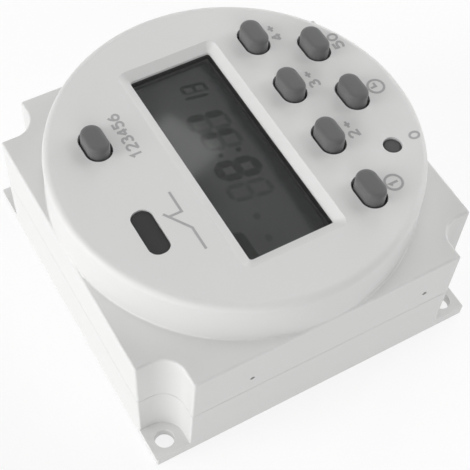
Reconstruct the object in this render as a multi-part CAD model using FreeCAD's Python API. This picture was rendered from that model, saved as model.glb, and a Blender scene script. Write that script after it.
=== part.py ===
import FreeCAD, Part
import math
import os

# Digital timer switch, millimetres, +Z out of the face, z = 0 at the back of the case.
# +X runs the way the face is read, +Y points from the key rows to the manual key.

# Case
body_w = 60.0  # across the flats, at the shoulder
plan_scale = body_w / 60.0  # layouts below are drawn for a 60 mm case and grow with it
case_draft = 1.5  # degrees, each side wall leans in towards the back
parting_h = 11.8  # height of the split between base and cover
shoulder_h = 22.4
face_h = 31.0  # height of the round face
wall_t = 1.8
face_t = 1.8
rim_wall_t = 1.4
rim_inset = 0.1  # the round face stays this far inside the flats
rim_edge_r = 1.2
rim_foot_r = 0.25
case_edge_r = 0.4  # outside edges of the cover
base_edge_r = 0.3  # upright outside edges of the base
case_gap = 0.1  # between the base's tongue and the cover
groove_d = 0.08
groove_h = 0.1
tongue_t = 0.9
tongue_h = 2.0

# Screw corners
hole_edge = 3.3  # hole centre to each side of the case
hole_d = 3.2
notch_in = 2.7  # middle of a screw corner's round to each side of the case
head_r = 3.65  # round of a screw corner
lug_t = 2.0

# Snap latches
latch_y = 15.8 * plan_scale
latch_w = 6.0 * plan_scale
latch_bridge = 1.2
latch_window_h = 3.4
latch_gap = 0.15
latch_skin = 0.6  # wall left outside the pocket that takes a hook
pin_d = 0.8  # hole over one end of each hook, where a pin pushes it back
pin_shift = -2.4
pin_rise = 2.5
hook_face = 0.6  # upright share of the hook's height, the rest slopes

# Display
window_l = 38.0 * plan_scale
window_w = 14.0 * plan_scale
window_y = 1.5 * plan_scale
window_more = 0.6  # the cover's opening reaches this far past the display's view, to the right and down
bevel_w = 1.9
bevel_h = 1.35
window_r = 0.5
bevel_r = 1.5
lens_t = 1.0
lens_lap = 1.5
glass_t = 1.1
glass_lap_l = 1.8  # front glass past the window, along the window
glass_lap_w = 2.5  # front glass past the window, across it
ledge_w = 2.2  # contact ledge of the front glass past the rear glass
strip_w = 1.8
strip_inset = 1.0
glass_gap = 0.1
holder_wall = 1.0
holder_lip = 1.0
lip_gap = 0.2

# Keys
key_l = 5.9 * plan_scale
key_w = 3.6 * plan_scale
key_proud = 2.4
manual_proud = 2.0
key_edge_r = 0.7
key_gap = 0.42
key_travel = 0.8
key_pitch = 11.6 * plan_scale
row_1_y = -13.3 * plan_scale
row_2_y = -21.45 * plan_scale
manual_x = 9.7 * plan_scale
upper_y = 19.4 * plan_scale
reset_d = 2.8 * plan_scale
reset_edge_r = 0.4
reset_sink = 0.3
reset_hole_gap = 0.15
flange_w = 0.6
stop_gap = 0.15
web_t = 0.3
web_h = 1.2
web_spread = 0.55
mat_t = 1.0
mat_hole_gap = 0.85
mat_start_gap = 0.5
mat_upper_margin = 3.75
pill_r = 1.3
reset_pill_r = 0.9
pill_gap = 0.1  # left between pill and board at full travel

# Lamp
slot_l = 8.5 * plan_scale
slot_w = 3.5 * plan_scale
slot_r = 1.6 * plan_scale
slot_x = -8.5 * plan_scale
lamp_gap = 0.1
lamp_sink = 0.3
lamp_flange_w = 1.0
lamp_flange_t = 1.0
led_l = 4.8 * plan_scale
led_w = 2.4 * plan_scale
led_foot = 0.3
led_foot_t = 0.8
led_room = 0.3

# Control board
boss_h = 6.8
boss_r = 2.0
boss_inset = 2.1  # boss centres in from the board's edge
boss_upper = 36.5  # degrees up from the reading direction, the upper pair
boss_lower = -46.5  # degrees, the lower pair
boss_gap = 0.4  # between the keypad sheet and a boss
board_t = 1.6
board_gap = 0.4  # between the board and the cover's round wall
screw_r = 1.0
screw_fit = 0.02
screw_hole_gap = 0.2
screw_head_r = 1.9
screw_head_t = 1.3
screw_l = 5.0
screw_slot_w = 0.5
screw_slot_d = 0.6
screw_tip_room = 0.3
chip_w = 12.0 * plan_scale
chip_t = 1.6
chip_x = -3.0 * plan_scale
chip_y = 1.0 * plan_scale
crystal_l = 8.0 * plan_scale
crystal_r = 1.5
saddle_short = 1.0  # a saddle ends this much before the can, both ends together
crystal_x = -14.0 * plan_scale
crystal_y = -9.0 * plan_scale
cell_r = 7.75 * plan_scale
cell_gap = 1.8  # between the cell and the power board
cell_edge_r = 0.5
cell_x = 13.0 * plan_scale
cell_y = 9.0 * plan_scale
link_l = 15.2 * plan_scale
link_w = 2.5 * plan_scale
link_x = 4.0 * plan_scale
link_y = -22.0 * plan_scale

# Power board and terminals
power_z = 12.0
power_t = 1.6
power_gap = 0.4
post_x = 23.0 * plan_scale
post_y = 17.0 * plan_scale
post_r = 2.4
bay_l = 49.0 * plan_scale
bay_w = 15.0 * plan_scale
bay_y = -13.5 * plan_scale
bay_h = 9.2
bay_wall = 1.5
terminal_count = 5
terminal_pitch = 9.5 * plan_scale
blade_w = 6.3 * plan_scale
blade_t = 0.8
blade_tip_z = 1.0
blade_tip_cut = 1.2
blade_eye_r = 0.8
blade_eye_z = 4.4
shoulder_over = 0.6
tail_w = 4.0 * plan_scale
tail_proud = 1.0
blade_gap = 0.1
rest_w = 1.2
rest_y = -19.5 * plan_scale
pin_r = 0.4
pin_proud = 0.8
pin_gap = 0.15
pin_embed = 0.5
part_edge_r = 0.5

# Power board parts
relay_l = 20.0 * plan_scale
relay_w = 10.0 * plan_scale
relay_h = 9.9
relay_x = -10.0 * plan_scale
relay_y = 10.0 * plan_scale
relay_pin_x = 8.0 * plan_scale
relay_pin_y = 3.8 * plan_scale
film_l = 18.0 * plan_scale
film_w = 7.0 * plan_scale
film_h = 9.5
film_x = 12.0 * plan_scale
film_y = 8.0 * plan_scale
film_pin_x = 7.5 * plan_scale
filter_gap = 0.9  # between the filter capacitor and the control board
filter_l = 11.0 * plan_scale
filter_x = -13.0 * plan_scale
filter_y = 18.0 * plan_scale
rectifier_l = 8.5 * plan_scale
rectifier_w = 6.5 * plan_scale
rectifier_h = 2.5
rectifier_x = 9.0 * plan_scale
rectifier_y = -5.5 * plan_scale
varistor_r = 3.5 * plan_scale
varistor_t = 3.5
varistor_x = 20.0 * plan_scale
varistor_y = -6.0 * plan_scale
resistor_r = 1.75
resistor_l = 9.0 * plan_scale
resistor_x = -22.0 * plan_scale
resistor_y = -1.0 * plan_scale

# Cuts and checks
over = 1.0  # cuts run this far past the faces they open
tiny = 0.001

# Worked out from the above
half_top = body_w / 2
hole_c = half_top - hole_edge
notch_edge = half_top - notch_in - head_r
disc_r = half_top - rim_inset
cavity_r = disc_r - rim_wall_t
face_back = face_h - face_t
board_top = face_back - boss_h
board_z = board_top - board_t
board_r = cavity_r - board_gap
display_z = face_back - lens_t - holder_lip
opening_l = window_l + window_more
opening_w = window_w + window_more
opening_x = window_more / 2
opening_y = window_y - window_more / 2
front_glass_l = window_l + 2 * glass_lap_l
front_glass_w = window_w + 2 * glass_lap_w
rear_glass_w = front_glass_w - 2 * ledge_w
holder_l = front_glass_l + 2 * (glass_gap + holder_wall)
holder_w = front_glass_w + 2 * (glass_gap + holder_wall)
boss_circle = board_r - boss_inset
mat_top = board_top + mat_t
key_foot_z = mat_top + web_h
flange_top = face_back - stop_gap
key_tops = {"manual": face_h + manual_proud}
pill_z = board_top + key_travel + pill_gap
power_top = power_z + power_t
terminal_z = bay_h + bay_wall
latch_z = parting_h + latch_bridge
part_space = board_z - power_top  # height between the two boards
cell_t = part_space - cell_gap
filter_r = (part_space - filter_gap) / 2
link_split = (power_top + board_z) / 2
skirt_z = parting_h + groove_h
cavity_top = shoulder_h - wall_t


def side_half(z):
    """Half width of the case at height z."""
    return half_top - (shoulder_h - z) * math.tan(math.radians(case_draft))


cavity_half = side_half(parting_h) - wall_t
cavity_edge = notch_edge - wall_t
tongue_out = cavity_half - case_gap
tongue_in = tongue_out - tongue_t

keys = [
    ("manual", manual_x, upper_y),
    ("program", -1.5 * key_pitch, row_1_y),
    ("day", -0.5 * key_pitch, row_1_y),
    ("hour", 0.5 * key_pitch, row_1_y),
    ("minute", 1.5 * key_pitch, row_1_y),
    ("clock", 0.0, row_2_y),
    ("recall", key_pitch, row_2_y),
]
reset_at = (-key_pitch, row_2_y)


def vec(x, y, z=0.0):
    """Short form of a vector."""
    return FreeCAD.Vector(x, y, z)


def box(x0, x1, y0, y1, z0, z1):
    """Box from its six faces' positions."""
    return Part.makeBox(x1 - x0, y1 - y0, z1 - z0, vec(x0, y0, z0))


def block(cx, cy, length, width, z0, z1):
    """Box centred on a point of the plan."""
    return box(cx - length / 2, cx + length / 2, cy - width / 2, cy + width / 2, z0, z1)


def rod(cx, cy, r, z0, z1):
    """Upright cylinder."""
    return Part.makeCylinder(r, z1 - z0, vec(cx, cy, z0))


def frustum(half_low, half_high, z0, z1):
    """Square block whose four sides lean."""
    low = [vec(sx * half_low, sy * half_low, z0) for sx, sy in ((-1, -1), (1, -1), (1, 1), (-1, 1))]
    high = [vec(sx * half_high, sy * half_high, z1) for sx, sy in ((-1, -1), (1, -1), (1, 1), (-1, 1))]
    rings = [low[::-1], high]
    for i in range(4):
        j = (i + 1) % 4
        rings.append([low[i], low[j], high[j], high[i]])
    faces = [Part.Face(Part.makePolygon(ring + ring[:1])) for ring in rings]
    return Part.Solid(Part.Shell(faces))


def corner_prism(edge, r, z0, z1):
    """What a screw corner takes out of a square plan, with a rounded inner corner."""
    far = body_w
    turn = edge + r
    mid = edge + r * (1 - math.sqrt(0.5))
    outline = [
        Part.makeLine(vec(turn, edge, z0), vec(far, edge, z0)),
        Part.makeLine(vec(far, edge, z0), vec(far, far, z0)),
        Part.makeLine(vec(far, far, z0), vec(edge, far, z0)),
        Part.makeLine(vec(edge, far, z0), vec(edge, turn, z0)),
        Part.Arc(vec(edge, turn, z0), vec(mid, mid, z0), vec(turn, edge, z0)).toShape(),
    ]
    return Part.Face(Part.Wire(outline)).extrude(vec(0, 0, z1 - z0))


def four_corners(shape):
    """The shape and its three copies, turned about the middle of the case."""
    copies = []
    for quarter in range(4):
        copy = shape.copy()
        copy.rotate(vec(0, 0, 0), vec(0, 0, 1), 90 * quarter)
        copies.append(copy)
    return copies


def notched(solid, edge, r, z0, z1):
    """Cuts the four screw corners out of a solid."""
    return solid.cut(four_corners(corner_prism(edge, r, z0, z1)))


def plan_prism(half, edge, r, z0, z1):
    """Upright prism on a square plan with four screw corners left out."""
    return notched(box(-half, half, -half, half, z0, z1), edge, r, z0 - over, z1 + over)


def stadium(cx, cy, length, width, z0, z1):
    """Upright prism with two round ends, or a cylinder where length equals width."""
    r = width / 2
    if length - width < tiny:
        return rod(cx, cy, r, z0, z1)
    s = (length - width) / 2
    outline = [
        Part.makeLine(vec(cx - s, cy - r, z0), vec(cx + s, cy - r, z0)),
        Part.Arc(vec(cx + s, cy - r, z0), vec(cx + s + r, cy, z0), vec(cx + s, cy + r, z0)).toShape(),
        Part.makeLine(vec(cx + s, cy + r, z0), vec(cx - s, cy + r, z0)),
        Part.Arc(vec(cx - s, cy + r, z0), vec(cx - s - r, cy, z0), vec(cx - s, cy - r, z0)).toShape(),
    ]
    return Part.Face(Part.Wire(outline)).extrude(vec(0, 0, z1 - z0))


def rounded_block(cx, cy, length, width, r, z0, z1):
    """Block with its four upright edges rounded."""
    solid = block(cx, cy, length, width, z0, z1)
    upright = [e for e in solid.Edges if abs(e.BoundBox.ZLength - (z1 - z0)) < tiny]
    return solid.makeFillet(r, upright)


def rounded_ring(cx, cy, length, width, r, z):
    """Closed wire of a flat rectangle with rounded corners."""
    plan = rounded_block(cx, cy, length, width, r, z, z + over)
    face = [f for f in plan.Faces if f.BoundBox.ZMax < z + tiny][0]
    return face.OuterWire


def window_bevel():
    """Tapered cut round the window, from the cover's opening up to an even border round the view."""
    low = rounded_ring(opening_x, opening_y, opening_l, opening_w, window_r, face_h - bevel_h)
    high = rounded_ring(0, window_y, window_l + 2 * bevel_w, window_w + 2 * bevel_w, bevel_r, face_h)
    return Part.makeLoft([low, high], True, True)


def round_face():
    """Solid disc of the face, with a rounded rim and a small hollow foot on the shoulder."""
    bend = rim_foot_r * (1 - math.sqrt(0.5))
    turn = rim_edge_r * (1 - math.sqrt(0.5))
    foot_top = shoulder_h + rim_foot_r
    rim_top = face_h - rim_edge_r
    edges = [
        Part.makeLine(vec(0, 0, shoulder_h), vec(disc_r + rim_foot_r, 0, shoulder_h)),
        Part.Arc(
            vec(disc_r + rim_foot_r, 0, shoulder_h),
            vec(disc_r + bend, 0, shoulder_h + bend),
            vec(disc_r, 0, foot_top),
        ).toShape(),
        Part.makeLine(vec(disc_r, 0, foot_top), vec(disc_r, 0, rim_top)),
        Part.Arc(
            vec(disc_r, 0, rim_top),
            vec(disc_r - turn, 0, face_h - turn),
            vec(disc_r - rim_edge_r, 0, face_h),
        ).toShape(),
        Part.makeLine(vec(disc_r - rim_edge_r, 0, face_h), vec(0, 0, face_h)),
        Part.makeLine(vec(0, 0, face_h), vec(0, 0, shoulder_h)),
    ]
    turned = Part.Face(Part.Wire(edges)).revolve(vec(0, 0, 0), vec(0, 0, 1), 360)
    flats = box(-half_top, half_top, -half_top, half_top, shoulder_h, face_h)
    return turned.common(flats)


def boss_points():
    """Plan positions of the control board's four screws."""
    points = []
    for degrees in (boss_upper, boss_lower):
        x = boss_circle * math.cos(math.radians(degrees))
        y = boss_circle * math.sin(math.radians(degrees))
        points += [(-x, y), (x, y)]
    return points


def latch_points():
    """Side and plan position of each snap latch."""
    return [(sx, sy * latch_y) for sx in (-1, 1) for sy in (-1, 1)]


def rounded_outside(solid, r, z0, z1, top):
    """Rounds the upright outside edges between z0 and z1, and with top also the shoulder's edges."""
    foot_reach = disc_r + rim_foot_r + tiny
    edges = []
    for edge in solid.Edges:
        low = edge.BoundBox.ZMin
        high = edge.BoundBox.ZMax
        middle = edge.valueAt((edge.FirstParameter + edge.LastParameter) / 2)
        outside = max(abs(middle.x), abs(middle.y)) > side_half(middle.z) - tiny
        if outside and abs(low - z0) < tiny and abs(high - z1) < tiny:
            edges.append(edge)
        if top and low > z1 - tiny and high < z1 + tiny and math.hypot(middle.x, middle.y) > foot_reach:
            edges.append(edge)
    return solid.makeFillet(r, edges)


def cover_outside():
    """Solid outer form of the cover: skirt, groove lip and round face."""
    upper = frustum(side_half(skirt_z), half_top, skirt_z, shoulder_h)
    upper = notched(upper, notch_edge, head_r, skirt_z - over, shoulder_h + over)
    solid = upper.fuse(round_face()).removeSplitter()
    solid = rounded_outside(solid, case_edge_r, skirt_z, shoulder_h, True)
    low_half = side_half(parting_h) - groove_d
    lip = plan_prism(low_half, notch_edge - groove_d, head_r + groove_d, parting_h, skirt_z)
    return solid.fuse(lip).removeSplitter()


def front_cover():
    """Cover shell with the round face, its window, key holes, slot and board bosses."""
    solid = cover_outside()
    solid = solid.cut(plan_prism(cavity_half, cavity_edge, head_r + wall_t, parting_h - over, cavity_top))
    solid = solid.cut(rod(0, 0, cavity_r, parting_h - over, face_back))
    bosses = [rod(x, y, boss_r, board_top, face_back) for x, y in boss_points()]
    solid = solid.fuse(bosses).removeSplitter()
    below = face_back - over
    above = face_h + over
    cuts = [
        rounded_block(opening_x, opening_y, opening_l, opening_w, window_r, below, face_h),
        window_bevel(),
        rounded_block(slot_x, upper_y, slot_l, slot_w, slot_r, below, above),
        rod(*reset_at, reset_d / 2 + reset_hole_gap, below, above),
    ]
    for _, x, y in keys:
        cuts.append(stadium(x, y, key_l + 2 * key_gap, key_w + 2 * key_gap, below, above))
    pilot_top = board_z + screw_l + screw_tip_room
    for x, y in boss_points():
        cuts.append(rod(x, y, screw_r + screw_fit, board_top - over, pilot_top))
    half = latch_w / 2 + latch_gap
    pocket_out = side_half(latch_z) - latch_skin
    for side, y in latch_points():
        x0, x1 = sorted((side * (cavity_half - over), side * pocket_out))
        cuts.append(box(x0, x1, y - half, y + half, latch_z, latch_z + latch_window_h))
        start = vec(side * (pocket_out - over), y + pin_shift, latch_z + pin_rise)
        cuts.append(Part.makeCylinder(pin_d / 2, latch_skin + 3 * over, start, vec(side, 0, 0)))
    return solid.cut(cuts)


def terminal_points():
    """X positions of the blade terminals."""
    first = -(terminal_count - 1) / 2 * terminal_pitch
    return [first + i * terminal_pitch for i in range(terminal_count)]


def latch_hook(side, y):
    """Arm and head of one snap hook on the base."""
    arm_top = latch_z + latch_window_h - latch_gap
    head_z = latch_z + latch_gap
    out = side_half(latch_z) - latch_skin - latch_gap
    profile = [
        vec(side * tongue_in, y - latch_w / 2, parting_h),
        vec(side * tongue_out, y - latch_w / 2, parting_h),
        vec(side * tongue_out, y - latch_w / 2, head_z),
        vec(side * out, y - latch_w / 2, head_z),
        vec(side * out, y - latch_w / 2, head_z + hook_face * (arm_top - head_z)),
        vec(side * tongue_out, y - latch_w / 2, arm_top),
        vec(side * tongue_in, y - latch_w / 2, arm_top),
    ]
    return Part.Face(Part.makePolygon(profile + profile[:1])).extrude(vec(0, latch_w, 0))


def rear_base():
    """Base shell with screw lugs, terminal bay, board posts, tongue and snap hooks."""
    solid = frustum(side_half(0), side_half(parting_h), 0, parting_h)
    solid = notched(solid, notch_edge, head_r, lug_t, parting_h + over)
    solid = rounded_outside(solid, base_edge_r, lug_t, parting_h, False)
    solid = rounded_outside(solid, base_edge_r, 0, lug_t, False)
    solid = solid.cut(plan_prism(cavity_half, cavity_edge, head_r + wall_t, wall_t, parting_h + over))
    bay = block(0, bay_y, bay_l + 2 * bay_wall, bay_w + 2 * bay_wall, 0, terminal_z)
    tongue = plan_prism(
        tongue_out, cavity_edge - case_gap, head_r + wall_t + case_gap, parting_h, parting_h + tongue_h
    )
    hollow_edge = cavity_edge - case_gap - tongue_t
    hollow_r = head_r + wall_t + case_gap + tongue_t
    tongue_end = parting_h + tongue_h
    tongue = tongue.cut(plan_prism(tongue_in, hollow_edge, hollow_r, parting_h - over, tongue_end + over))
    added = [bay, tongue]
    for sx in (-1, 1):
        added.append(rod(sx * post_x, post_y, post_r, wall_t, power_z))
    added.append(block(0, rest_y, bay_l, rest_w, terminal_z, power_z))
    for side, y in latch_points():
        added.append(latch_hook(side, y))
    seat = plan_prism(cavity_half, cavity_edge, head_r + wall_t, parting_h - wall_t, parting_h)
    seat = seat.cut(
        plan_prism(tongue_in, hollow_edge, hollow_r, parting_h - wall_t - over, parting_h + over)
    )
    added.append(seat)
    solid = solid.fuse(added).removeSplitter()
    cuts = [block(0, bay_y, bay_l, bay_w, -over, bay_h)]
    slit_l = blade_w + 2 * blade_gap
    slit_w = blade_t + 2 * blade_gap
    for x in terminal_points():
        cuts.append(block(x, bay_y, slit_l, slit_w, bay_h - over, terminal_z + over))
    pilot_end = power_top - screw_l - screw_tip_room
    for sx in (-1, 1):
        cuts.append(rod(sx * post_x, post_y, screw_r + screw_fit, pilot_end, power_z + over))
    for hole in four_corners(rod(hole_c, hole_c, hole_d / 2, -over, lug_t + over)):
        cuts.append(hole)
    return solid.cut(cuts)


def display_parts():
    """Lens, glasses, backing, contact strips and holder, stacked under the window."""
    parts = {}
    lens_z = face_back - lens_t
    parts["display_lens"] = block(
        0, window_y, window_l + 2 * lens_lap, window_w + 2 * lens_lap, lens_z, face_back
    )
    front_z = display_z - glass_t
    parts["display_front_glass"] = block(0, window_y, front_glass_l, front_glass_w, front_z, display_z)
    rear_z = front_z - glass_t
    parts["display_rear_glass"] = block(0, window_y, front_glass_l, rear_glass_w, rear_z, front_z)
    pad_l = front_glass_l - 2 * holder_wall
    parts["display_backing"] = block(0, window_y, pad_l, rear_glass_w, board_top, rear_z)
    strip_y = (front_glass_w - strip_w) / 2 - (ledge_w - strip_w) / 2
    strip_l = front_glass_l - 2 * strip_inset
    for name, side in (("contact_strip_lower", -1), ("contact_strip_upper", 1)):
        parts[name] = block(0, window_y + side * strip_y, strip_l, strip_w, board_top, front_z)
    holder = block(0, window_y, holder_l, holder_w, board_top, lens_z)
    pocket_l = front_glass_l + 2 * glass_gap
    pocket_w = front_glass_w + 2 * glass_gap
    holder = holder.cut(block(0, window_y, pocket_l, pocket_w, board_top - over, display_z))
    mouth_l = window_l + 2 * lip_gap
    mouth_w = window_w + 2 * lip_gap
    mouth = block(0, window_y, mouth_l, mouth_w, display_z - over, lens_z + over)
    parts["display_holder"] = holder.cut(mouth)
    return parts


def key(x, y, length, width, top, edge_r):
    """Key with a flange that stops under the face and a cap that stands in its hole."""
    cap = stadium(x, y, length, width, key_foot_z, top)
    rim = [e for e in cap.Edges if e.BoundBox.ZMin > top - tiny]
    cap = cap.makeFillet(edge_r, rim)
    flange = stadium(x, y, length + 2 * flange_w, width + 2 * flange_w, key_foot_z, flange_top)
    return cap.fuse(flange).removeSplitter()


def web(x, y, length, width):
    """Thin collapsing skirt from the mat up to the key's foot."""
    top_grow = 2 * flange_w
    foot_grow = 2 * (flange_w + web_spread)
    skirts = []
    for inset in (0.0, 2 * web_t):
        rings = []
        for grow, z in ((foot_grow - inset, mat_top), (top_grow - inset, key_foot_z)):
            plan = stadium(x, y, length + grow, width + grow, z, z + over)
            face = [f for f in plan.Faces if f.BoundBox.ZMax < z + tiny][0]
            rings.append(face.OuterWire)
        skirts.append(Part.makeLoft(rings, True, True))
    return skirts[0].cut(skirts[1])


def pill(x, y, r):
    """Carbon contact under a key."""
    return rod(x, y, r, pill_z, key_foot_z)


def key_parts():
    """Every key with its web and its contact pill."""
    parts = {}
    for name, x, y in keys:
        top = key_tops.get(name, face_h + key_proud)
        parts["key_" + name] = key(x, y, key_l, key_w, top, key_edge_r)
        parts["web_" + name] = web(x, y, key_l, key_w)
        parts["pill_" + name] = pill(x, y, pill_r)
    x, y = reset_at
    parts["key_reset"] = key(x, y, reset_d, reset_d, face_h - reset_sink, reset_edge_r)
    parts["web_reset"] = web(x, y, reset_d, reset_d)
    parts["pill_reset"] = pill(x, y, reset_pill_r)
    return parts


def keypad_mats():
    """Flat silicone sheets round the lower keys and round the manual key."""
    plate = rod(0, 0, board_r, board_top, mat_top)
    edge_y = window_y - holder_w / 2 - mat_start_gap
    lower = plate.common(box(-body_w, body_w, -body_w, edge_y, board_top, mat_top))
    upper_l = key_l + 2 * mat_upper_margin
    upper_w = key_w + 2 * mat_upper_margin
    upper = plate.common(block(manual_x, upper_y, upper_l, upper_w, board_top, mat_top))
    below = board_top - over
    above = mat_top + over
    holes = [rod(*reset_at, reset_d / 2 + mat_hole_gap, below, above)]
    for _, x, y in keys:
        holes.append(stadium(x, y, key_l + 2 * mat_hole_gap, key_w + 2 * mat_hole_gap, below, above))
    for x, y in boss_points():
        holes.append(rod(x, y, boss_r + boss_gap, below, above))
    return {"keypad_mat_lower": lower.cut(holes), "keypad_mat_upper": upper.cut(holes)}


def lamp_parts():
    """Dark lens in the slot and the lamp under it."""
    flange_z = face_back - lamp_flange_t
    length = slot_l - 2 * lamp_gap
    width = slot_w - 2 * lamp_gap
    lens = rounded_block(slot_x, upper_y, length, width, slot_r - lamp_gap, flange_z, face_h - lamp_sink)
    flange_l = slot_l + 2 * lamp_flange_w
    flange_d = slot_w + 2 * lamp_flange_w
    lens = lens.fuse(block(slot_x, upper_y, flange_l, flange_d, flange_z, face_back))
    led = block(slot_x, upper_y, led_l, led_w, board_top, flange_z - led_room)
    foot_top = board_top + led_foot_t
    led = led.fuse(block(slot_x, upper_y, led_l + 2 * led_foot, led_w + 2 * led_foot, board_top, foot_top))
    return {"lamp_lens": lens.removeSplitter(), "lamp_led": led.removeSplitter()}


def screw(x, y, head_z, way):
    """Pan head screw whose head sits at head_z; way is 1 for a tip that points up and -1 for down."""
    crown_z = head_z - way * screw_head_t
    tip_z = head_z + way * screw_l
    head = rod(x, y, screw_head_r, min(head_z, crown_z), max(head_z, crown_z))
    shank = rod(x, y, screw_r, min(head_z, tip_z), max(head_z, tip_z))
    slot_l = 2 * (screw_head_r + over)
    slot = block(x, y, slot_l, screw_slot_w, crown_z - screw_slot_d, crown_z + screw_slot_d)
    return head.fuse(shank).removeSplitter().cut(slot)


def control_board_parts():
    """Round board under the face, what is soldered to it, and its screws."""
    parts = {}
    board = rod(0, 0, board_r, board_z, board_top)
    hole_r = screw_r + screw_hole_gap
    holes = [rod(x, y, hole_r, board_z - over, board_top + over) for x, y in boss_points()]
    parts["control_board"] = board.cut(holes)
    parts["controller_chip"] = block(chip_x, chip_y, chip_w, chip_w, board_z - chip_t, board_z)
    start = vec(crystal_x - crystal_l / 2, crystal_y, board_z - crystal_r)
    can = Part.makeCylinder(crystal_r, crystal_l, start, vec(1, 0, 0))
    foot = block(crystal_x, crystal_y, crystal_l - saddle_short, crystal_r, board_z - crystal_r, board_z)
    parts["crystal"] = can.fuse(foot).removeSplitter()
    cell = rod(cell_x, cell_y, cell_r, board_z - cell_t, board_z)
    rims = [e for e in cell.Edges if e.BoundBox.ZLength < tiny]
    parts["backup_cell"] = cell.makeFillet(cell_edge_r, rims)
    parts["link_header"] = block(link_x, link_y, link_l, link_w, power_top, link_split)
    parts["link_socket"] = block(link_x, link_y, link_l, link_w, link_split, board_z)
    parts["board_screws"] = Part.makeCompound([screw(x, y, board_z, 1) for x, y in boss_points()])
    return parts


def relay_pins():
    """Plan positions of the relay's pins."""
    return [(relay_x + sx * relay_pin_x, relay_y + sy * relay_pin_y) for sx in (-1, 1) for sy in (-1, 1)]


def film_pins():
    """Plan positions of the film capacitor's pins."""
    return [(film_x + sx * film_pin_x, film_y) for sx in (-1, 1)]


def under_board(x, y, length, width, height, pins):
    """Boxed part hung under the power board, with its pins through it."""
    solid = rounded_block(x, y, length, width, part_edge_r, power_z - height, power_z)
    stems = [rod(px, py, pin_r, power_z - pin_embed, power_top + pin_proud) for px, py in pins]
    return solid.fuse(stems).removeSplitter()


def power_board():
    """Square board over the base, with a hole for every pin, screw and terminal tail."""
    half = tongue_in - power_gap
    edge = cavity_edge - case_gap - tongue_t - power_gap
    corner_r = head_r + wall_t + case_gap + tongue_t + power_gap
    board = plan_prism(half, edge, corner_r, power_z, power_top)
    below = power_z - over
    above = power_top + over
    holes = []
    for x, y in relay_pins() + film_pins():
        holes.append(rod(x, y, pin_r + pin_gap, below, above))
    for sx in (-1, 1):
        holes.append(rod(sx * post_x, post_y, screw_r + screw_hole_gap, below, above))
    for x in terminal_points():
        holes.append(block(x, bay_y, tail_w + 2 * blade_gap, blade_t + 2 * blade_gap, below, above))
    return board.cut(holes)


def power_board_parts():
    """The power board, what is soldered to it, and its screws."""
    parts = {"power_board": power_board()}
    parts["relay"] = under_board(relay_x, relay_y, relay_l, relay_w, relay_h, relay_pins())
    parts["film_capacitor"] = under_board(film_x, film_y, film_l, film_w, film_h, film_pins())
    axis_z = power_top + filter_r
    can = Part.makeCylinder(filter_r, filter_l, vec(filter_x - filter_l / 2, filter_y, axis_z), vec(1, 0, 0))
    saddle = block(filter_x, filter_y, filter_l - saddle_short, filter_r, power_top, axis_z)
    parts["filter_capacitor"] = can.fuse(saddle).removeSplitter()
    rectifier_top = power_top + rectifier_h
    parts["rectifier"] = block(rectifier_x, rectifier_y, rectifier_l, rectifier_w, power_top, rectifier_top)
    parts["varistor"] = rod(varistor_x, varistor_y, varistor_r, power_top, power_top + varistor_t)
    axis_z = power_top + resistor_r
    start = vec(resistor_x, resistor_y - resistor_l / 2, axis_z)
    body = Part.makeCylinder(resistor_r, resistor_l, start, vec(0, 1, 0))
    saddle = block(resistor_x, resistor_y, resistor_r, resistor_l - saddle_short, power_top, axis_z)
    parts["fuse_resistor"] = body.fuse(saddle).removeSplitter()
    parts["power_screws"] = Part.makeCompound([screw(sx * post_x, post_y, power_top, -1) for sx in (-1, 1)])
    return parts


def terminal(x):
    """Blade terminal: tab in the bay, shoulder on the bay's roof, tail through the board."""
    y0 = bay_y - blade_t / 2
    half = blade_w / 2
    wide = half + shoulder_over
    tail = tail_w / 2
    points = [
        (x - half + blade_tip_cut, blade_tip_z),
        (x + half - blade_tip_cut, blade_tip_z),
        (x + half, blade_tip_z + blade_tip_cut),
        (x + half, terminal_z),
        (x + wide, terminal_z),
        (x + wide, power_z),
        (x + tail, power_z),
        (x + tail, power_top + tail_proud),
        (x - tail, power_top + tail_proud),
        (x - tail, power_z),
        (x - wide, power_z),
        (x - wide, terminal_z),
        (x - half, terminal_z),
        (x - half, blade_tip_z + blade_tip_cut),
    ]
    outline = [vec(px, y0, pz) for px, pz in points]
    plate = Part.Face(Part.makePolygon(outline + outline[:1])).extrude(vec(0, blade_t, 0))
    eye = Part.makeCylinder(blade_eye_r, blade_t + 2 * over, vec(x, y0 - over, blade_eye_z), vec(0, 1, 0))
    return plate.cut(eye)


def all_parts():
    """Every node's name and solid."""
    parts = {"front_cover": front_cover(), "rear_base": rear_base()}
    parts.update(display_parts())
    parts.update(key_parts())
    parts.update(keypad_mats())
    parts.update(lamp_parts())
    parts.update(control_board_parts())
    parts.update(power_board_parts())
    for number, x in enumerate(terminal_points(), start=1):
        parts["terminal_%d" % number] = terminal(x)
    return parts


os.makedirs("parts", exist_ok=True)
for node, shape in all_parts().items():
    shape.exportStep("parts/" + node + ".step")
    print(node, len(shape.Solids), round(shape.Volume, 2), shape.isValid())
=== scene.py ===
"""Looks of a digital timer switch, laid out as an add-on and run as a script."""

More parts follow.
